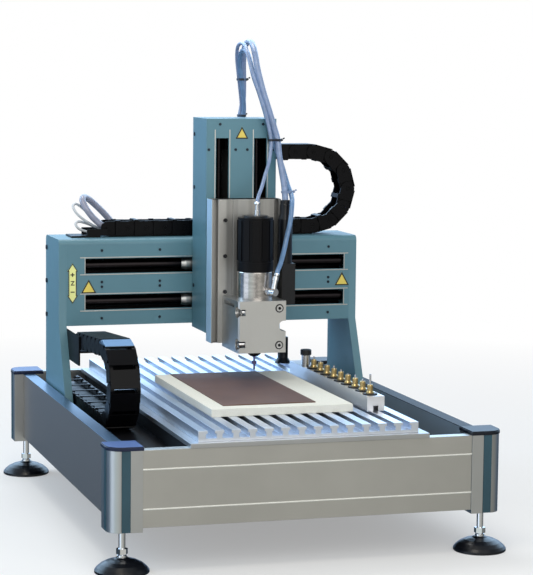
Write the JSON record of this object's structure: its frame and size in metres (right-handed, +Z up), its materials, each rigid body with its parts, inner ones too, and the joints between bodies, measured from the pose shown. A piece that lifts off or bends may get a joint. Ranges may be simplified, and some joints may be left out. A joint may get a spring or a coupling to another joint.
{
  "type": "circuit board prototyping machine",
  "caption": "Bench-top gantry router that mills and drills circuit boards: slotted table, moving gantry, cross carriage, lifting spindle, cable chains and a row of tools",
  "frame": {"origin": "middle of the four levelling pads, on the bench", "axes": "+X to the right of the person standing in front, +Y to the back, +Z up"},
  "size_m": [0.636, 0.83, 0.7694],
  "materials": {
    "anodised": "satin anodised extrusion",
    "table_metal": "milled and lightly polished",
    "block_metal": "fine milled",
    "edge_metal": "bright cut edge",
    "teal_paint": "satin powder coat",
    "dark_metal": "matt black coat",
    "motor_black": "satin black",
    "screw_black": "black oxide",
    "dark_steel": "dark ground steel",
    "bright_steel": "ground steel",
    "spindle_steel": "turned and polished",
    "chrome": "bright chrome",
    "brass": "turned brass",
    "black_plastic": "moulded",
    "cap_plastic": "moulded, smooth",
    "teal_plastic": "extruded strip",
    "chain_plastic": "moulded nylon",
    "black_rubber": "smooth",
    "waste_board": "pale fibre board",
    "copper_clad": "copper-clad laminate",
    "label_yellow": "plain yellow sticker",
    "hose_blue": "polyurethane hose",
    "hose_clear": "milky hose and pale cable",
    "cable_grey": "pale blue-grey cable"
  },
  "bodies": {
    "base": {"posts": "anodised", "post_inserts": "teal_plastic", "post_caps": "cap_plastic", "panel_ends": "anodised", "panel_sides": "anodised", "foot_pads": "black_plastic", "foot_studs": "chrome", "underframe": "dark_metal", "ledge_plate": "table_metal", "t_slot_table": "table_metal", "waste_board": "waste_board", "clad_board": "copper_clad", "tool_rack": "block_metal", "tool_holders": "brass", "holder_rings": "black_rubber", "rack_tools": "bright_steel", "length_sensor": "bright_steel", "rear_stand": "black_plastic", "y_guides": "bright_steel", "y_motor": "motor_black", "y_chain_lower": "chain_plastic"},
    "y_screw": {"y_screw": "bright_steel"},
    "y_chain_bend": {"y_chain_bend": "chain_plastic"},
    "gantry": {"y_chain_upper": "chain_plastic", "chain_brackets": "motor_black", "end_plates": "teal_paint", "beam": "motor_black", "beam_cover": "teal_paint", "cover_trims": "edge_metal", "cover_screws": "screw_black", "x_shafts": "dark_steel", "x_motor": "motor_black", "gantry_labels": "label_yellow", "cross_tie": "block_metal", "y_blocks": "bright_steel", "x_chain_lower": "chain_plastic", "cable_loop": "cable_grey"},
    "x_screw": {"x_screw": "bright_steel"},
    "x_chain_bend": {"x_chain_bend": "chain_plastic"},
    "x_carriage": {"x_chain_upper": "chain_plastic", "column": "teal_paint", "column_cover": "teal_paint", "column_trims": "edge_metal", "column_screws": "screw_black", "x_slider": "block_metal", "z_shafts": "dark_steel", "z_motor": "motor_black", "x_chain_end": "motor_black", "hose_blue": "hose_blue", "hose_clear": "hose_clear"},
    "z_screw": {"z_screw": "bright_steel"},
    "z_slide": {"z_plate": "anodised", "z_slider": "block_metal", "clamp_block": "block_metal", "spindle_motor": "motor_black", "spindle_body": "spindle_steel", "head_fittings": "chrome", "side_box": "black_plastic"},
    "rotor": {"rotor": "dark_steel", "cutter": "bright_steel"}
  },
  "joints": [
    {"name": "gantry_slide", "type": "slide", "parent": "base", "child": "gantry", "axis": [0, 1, 0], "range_m": [-0.33, 0.07], "deforming": ["y_chain_lower", "y_chain_upper"]},
    {"name": "y_screw_turn", "type": "hinge", "parent": "base", "child": "y_screw", "pos_m": [0, 0, 0.104], "axis": [0, 1, 0], "range_deg": [-2540, 11900]},
    {"name": "y_chain_follow", "type": "slide", "parent": "gantry", "child": "y_chain_bend", "axis": [0, 1, 0], "range_m": [-0.036, 0.166]},
    {"name": "x_slide", "type": "slide", "parent": "gantry", "child": "x_carriage", "axis": [1, 0, 0], "range_m": [-0.155, 0.16], "deforming": ["x_chain_lower", "x_chain_upper"]},
    {"name": "x_screw_turn", "type": "hinge", "parent": "gantry", "child": "x_screw", "pos_m": [0, 0.201, 0.389], "axis": [1, 0, 0], "range_deg": [-5800, 5980]},
    {"name": "x_chain_follow", "type": "slide", "parent": "x_carriage", "child": "x_chain_bend", "axis": [1, 0, 0], "range_m": [-0.081, 0.079]},
    {"name": "z_lift", "type": "slide", "parent": "x_carriage", "child": "z_slide", "axis": [0, 0, 1], "range_m": [-0.01, 0.085], "deforming": ["hose_blue", "hose_clear"]},
    {"name": "z_screw_turn", "type": "hinge", "parent": "x_carriage", "child": "z_screw", "pos_m": [0.027, 0.118, 0.4], "axis": [0, 0, 1], "range_deg": [-6140, 740]},
    {"name": "spindle_spin", "type": "hinge", "parent": "z_slide", "child": "rotor", "pos_m": [0.0285, -0.007, 0.26], "axis": [0, 0, 1], "continuous": true}
  ],
  "couplings": [
    {"joint": "y_screw_turn", "follows": "gantry_slide", "rad_per_m": -628.32},
    {"joint": "y_chain_follow", "follows": "gantry_slide", "ratio": -0.5},
    {"joint": "x_screw_turn", "follows": "x_slide", "rad_per_m": -628.32},
    {"joint": "x_chain_follow", "follows": "x_slide", "ratio": -0.5},
    {"joint": "z_screw_turn", "follows": "z_lift", "rad_per_m": -1256.6}
  ]
}
